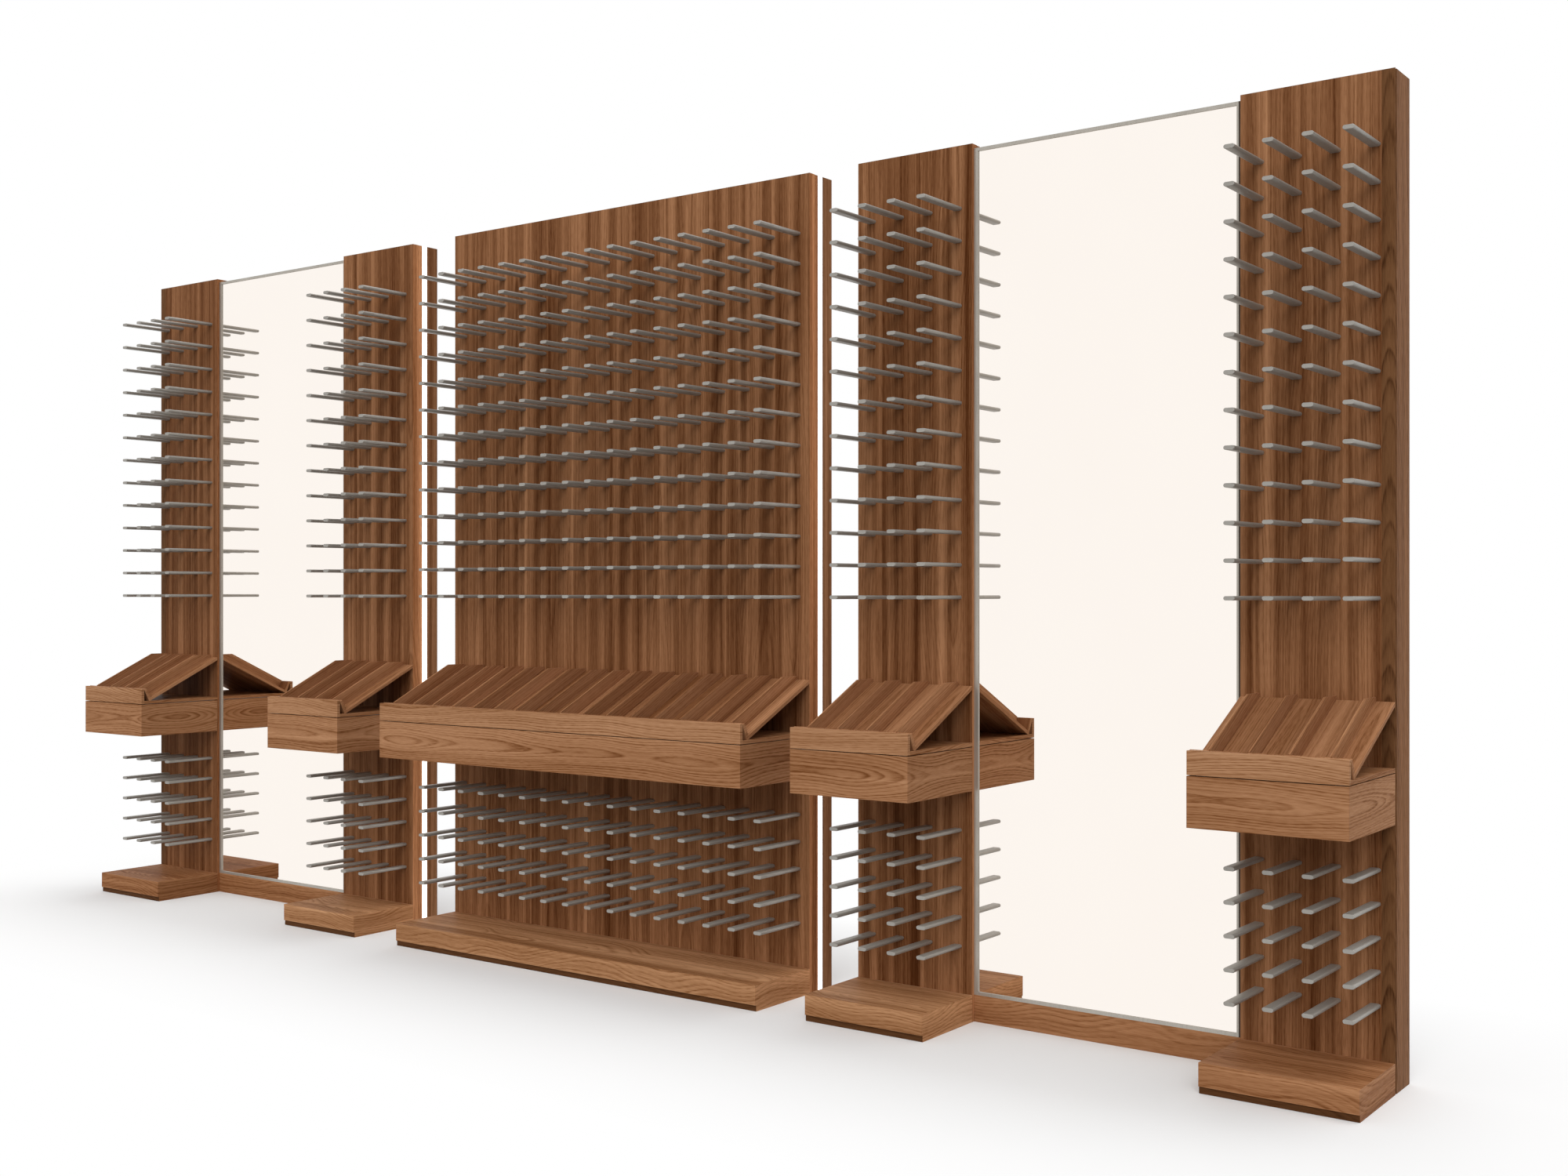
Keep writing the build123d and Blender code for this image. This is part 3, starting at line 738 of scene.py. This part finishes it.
def make_peg_tree():
    """A field of pegs: columns along X, upper rows set out downwards and lower rows upwards."""
    number, whole, place = "NodeSocketFloat", "NodeSocketInt", "NodeSocketVector"
    inputs = [("Width", number), ("Thickness", number), ("Length", number), ("Tip", number)]
    inputs += [("Columns", whole), ("Column Step", place)]
    inputs += [("Upper Rows", whole), ("Upper Start", place), ("Upper Step", place)]
    inputs += [("Lower Rows", whole), ("Lower Start", place), ("Lower Step", place)]
    inputs += [("Material", "NodeSocketMaterial")]
    sheet, given, out = new_tree("peg_field", inputs)

    section = {"Width": given["Width"], "Height": given["Thickness"]}
    outline = sheet.add("GeometryNodeCurvePrimitiveQuadrilateral", section)
    round_over = {"Curve": outline.outputs[0], "Count": PEG_ROUNDING_STEPS, "Limit Radius": True}
    round_over["Radius"] = sheet.math("MULTIPLY", given["Thickness"], PEG_ROUNDING)
    rounded = sheet.add("GeometryNodeFilletCurve", round_over, mode="POLY")
    root = sheet.add("GeometryNodeFillCurve", {0: rounded.outputs[0]}, mode="NGONS").outputs[0]
    length = sheet.math("SUBTRACT", given["Length"], given["Tip"])
    bar = sheet.add("GeometryNodeExtrudeMesh", {"Mesh": root, "Offset Scale": length})
    bar_end = {"Mesh": bar.outputs["Mesh"], "Selection": bar.outputs["Top"], "Offset Scale": given["Tip"]}
    tip = sheet.add("GeometryNodeExtrudeMesh", bar_end)
    tip_end = {"Geometry": tip.outputs["Mesh"], "Selection": tip.outputs["Top"], "Scale": PEG_TIP_TAPER}
    eased = sheet.add("GeometryNodeScaleElements", tip_end)
    closed = sheet.add("GeometryNodeJoinGeometry")
    sheet.feed(closed.inputs[0], sheet.add("GeometryNodeFlipFaces", {0: root}).outputs[0])
    sheet.feed(closed.inputs[0], eased.outputs[0])
    welded = sheet.add("GeometryNodeMergeByDistance", {"Geometry": closed.outputs[0], "Distance": PEG_WELD})
    turn = {"Geometry": welded.outputs[0], "Rotation": (radians(90.0), 0.0, 0.0)}
    forward = sheet.add("GeometryNodeTransform", turn)

    upper = line_of_points(sheet, given["Upper Rows"], given["Upper Start"], given["Upper Step"])
    lower = line_of_points(sheet, given["Lower Rows"], given["Lower Start"], given["Lower Step"])
    column = sheet.add("GeometryNodeJoinGeometry")
    sheet.feed(column.inputs[0], upper)
    sheet.feed(column.inputs[0], lower)
    columns = line_of_points(sheet, given["Columns"], (0.0, 0.0, 0.0), given["Column Step"])
    places = repeat(sheet, columns, column.outputs[0])
    pegs = repeat(sheet, places, forward.outputs[0])
    finished = sheet.add("GeometryNodeSetMaterial", {"Geometry": pegs, "Material": given["Material"]})
    sheet.feed(out.inputs[0], finished.outputs[0])
    return sheet.tree


def make_fin_tree():
    """A row of cradle fins: one fin repeated along X."""
    inputs = [("Fin", "NodeSocketObject"), ("Count", "NodeSocketInt"), ("Start", "NodeSocketVector")]
    inputs += [("Step", "NodeSocketVector"), ("Material", "NodeSocketMaterial")]
    sheet, given, out = new_tree("fin_row", inputs)
    fin = sheet.add("GeometryNodeObjectInfo", {"Object": given["Fin"]}).outputs["Geometry"]
    row = repeat(sheet, line_of_points(sheet, given["Count"], given["Start"], given["Step"]), fin)
    finished = sheet.add("GeometryNodeSetMaterial", {"Geometry": row, "Material": given["Material"]})
    sheet.feed(out.inputs[0], finished.outputs[0])
    return sheet.tree


def grow(name, tree, values):
    """Run a tree with the given values and keep the result as a plain mesh."""
    maker = bpy.data.objects.new(name, bpy.data.meshes.new(name))
    bpy.context.scene.collection.objects.link(maker)
    modifier = maker.modifiers.new(name, "NODES")
    modifier.node_group = tree
    for item in tree.interface.items_tree:
        if item.in_out == "INPUT":
            modifier[item.identifier] = values[item.name]
    maker.update_tag()
    evaluated = maker.evaluated_get(bpy.context.evaluated_depsgraph_get())
    mesh = bpy.data.meshes.new_from_object(evaluated)
    bpy.data.objects.remove(maker)
    return mesh


peg_tree = make_peg_tree()
fin_tree = make_fin_tree()
for unit in UNITS:
    node = f"{unit}_pegs"
    low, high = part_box(node)
    columns = round((high.x - low.x - PEG_WIDTH) / COLUMN_PITCH) + 1
    first = low.x + PEG_WIDTH / 2
    top_row, bottom_row = high.z - PEG_THICKNESS / 2, low.z + PEG_THICKNESS / 2
    field = {
        "Width": PEG_WIDTH,
        "Thickness": PEG_THICKNESS,
        "Length": high.y - low.y,
        "Tip": PEG_TIP,
        "Columns": columns,
        "Column Step": (COLUMN_PITCH, 0.0, 0.0),
        "Upper Rows": UPPER_ROWS,
        "Upper Start": (first, high.y, top_row),
        "Upper Step": (0.0, 0.0, -UPPER_PITCH),
        "Lower Rows": LOWER_ROWS,
        "Lower Start": (first, high.y, bottom_row),
        "Lower Step": (0.0, 0.0, LOWER_PITCH),
        "Material": looks["peg"],
    }
    pegs = grow(node, peg_tree, field)
    pegs.polygons.foreach_set("use_smooth", [True] * len(pegs.polygons))
    pegs.set_sharp_from_angle(angle=PEG_SMOOTH_ANGLE)
    dress(node, pegs, node, "peg")

    node = f"{unit}_cradle_fins"
    low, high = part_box(node)
    foot = on_slope(CRADLE_BOARD, CRADLE_BOARD)
    ridge = on_slope(CRADLE_BOARD, CRADLE_BOARD + FIN_HEIGHT)
    crest_y = ridge[0] + (high.z - ridge[1]) * cos(CRADLE_TILT) / sin(CRADLE_TILT)
    heel_z = foot[1] + (high.y - foot[0]) * sin(CRADLE_TILT) / cos(CRADLE_TILT)
    outline = [ridge, foot, (high.y, heel_z), (high.y, high.z), (crest_y, high.z)]
    fin_board = profile_board(outline, -FIN_THICKNESS / 2, FIN_THICKNESS / 2)
    fin = bpy.data.objects.new("fin", eased_mesh("fin", [fin_board]))
    row = {
        "Fin": fin,
        "Count": columns,
        "Start": (first, 0.0, 0.0),
        "Step": (COLUMN_PITCH, 0.0, 0.0),
        "Material": looks[f"{unit}_cradle"],
    }
    dress(node, grow(node, fin_tree, row), node, f"{unit}_cradle")
    bpy.data.objects.remove(fin)

# Solids that keep their shape and get their finish
finishes = {f"{unit}_drawer_box": "ledge" for unit in UNITS}
finishes.update({f"{side}_mirror": "mirror" for side in SIDES})
finishes.update({f"{side}_mirror_frame": "mirror_frame" for side in SIDES})
finishes.update({"light_strips": "opal", "drawer_runners": "runner"})
for node, look in finishes.items():
    nodes[node].data.materials.clear()
    nodes[node].data.materials.append(looks[look])


def seen_directly(sheet):
    """1 for rays from the camera and for those seen in metal and glass."""
    path = sheet.add("ShaderNodeLightPath").outputs
    seen = sheet.math("MAXIMUM", path["Is Camera Ray"], path["Is Glossy Ray"])
    return sheet.math("MAXIMUM", seen, path["Is Transmission Ray"])


def make_background():
    """World: soft even light, and plain white wherever the camera, metal or glass looks past the object."""
    world = bpy.data.worlds.new("studio")
    bpy.context.scene.world = world
    world.use_nodes = True
    sheet = NodeSheet(world.node_tree)
    background = world.node_tree.nodes["Background"]
    sheet.feed(background.inputs["Strength"], sheet.blend(seen_directly(sheet), EVEN_LIGHT, 1.0))
    background.inputs["Color"].default_value = (1.0, 1.0, 1.0, 1.0)


def make_floor():
    """Plain pale floor: it keeps the object's shadow, runs out into white, and is white in the mirrors."""
    signs = ((-1, -1), (1, -1), (1, 1), (-1, 1))
    corners = [(x * FLOOR_REACH, y * FLOOR_REACH, 0.0) for x, y in signs]
    mesh = bpy.data.meshes.new("floor")
    mesh.from_pydata(corners, [], [(0, 1, 2, 3)])
    floor = bpy.data.objects.new("floor", mesh)
    bpy.context.scene.collection.objects.link(floor)
    material, sheet, shader = new_material("floor_pale")
    x, y, _ = sheet.place()
    _, far_corner = cad_box
    outside = [
        sheet.math("MAXIMUM", sheet.math("SUBTRACT", sheet.math("ABSOLUTE", axis), half), 0.0)
        for axis, half in ((x, far_corner[0]), (y, far_corner[1]))
    ]
    squares = [sheet.math("MULTIPLY", away, away) for away in outside]
    distance = sheet.math("SQRT", sheet.math("ADD", *squares))
    faded = sheet.spread(distance, SHADOW_NEAR, SHADOW_FAR, 0.0, 1.0)
    seen = seen_directly(sheet)
    reflected = sheet.add("ShaderNodeLightPath").outputs["Is Glossy Ray"]
    plain = sheet.math("MAXIMUM", faded, reflected)
    shade = sheet.blend(seen, FLOOR_RETURN, sheet.blend(plain, FLOOR_SHADE, 0.0))
    grey = sheet.add("ShaderNodeCombineColor", {0: shade, 1: shade, 2: shade})
    sheet.feed(shader.inputs["Base Color"], grey.outputs[0])
    shader.inputs["Roughness"].default_value = 1.0
    shader.inputs["Specular IOR Level"].default_value = 0.0
    shader.inputs["Emission Color"].default_value = (1.0, 1.0, 1.0, 1.0)
    glow = sheet.math("MULTIPLY", seen, sheet.blend(plain, FLOOR_GLOW, 1.0))
    sheet.feed(shader.inputs["Emission Strength"], glow)
    mesh.materials.append(material)


def add_sun(name, direction, strength, spread, in_mirrors):
    """A broad soft lamp that shines along the given direction, and shows in polished faces or not."""
    lamp = bpy.data.lights.new(name, "SUN")
    lamp.energy = strength
    lamp.angle = radians(spread)
    sun = bpy.data.objects.new(name, lamp)
    sun.rotation_euler = Vector(direction).to_track_quat("-Z", "Y").to_euler()
    sun.visible_glossy = in_mirrors
    bpy.context.scene.collection.objects.link(sun)


def make_camera():
    """Level camera at the right, at the photograph's viewing angle."""
    lens = bpy.data.cameras.new("camera")
    lens.sensor_width = 36.0
    lens.lens = 38.911
    lens.shift_y = 0.002285
    camera = bpy.data.objects.new("camera", lens)
    camera.location = (3.70341, -3.98567, 1.19446)
    camera.rotation_euler = (radians(90.0), 0.0, radians(36.34))
    bpy.context.scene.collection.objects.link(camera)
    bpy.context.scene.camera = camera


make_background()
make_floor()
add_sun("overhead", (-0.10, -0.24, -0.97), strength=0.8, spread=32.0, in_mirrors=True)
add_sun("front", (-0.32, 0.76, -0.56), strength=1.4, spread=45.0, in_mirrors=False)
make_camera()
bpy.context.scene.view_settings.view_transform = "Standard"
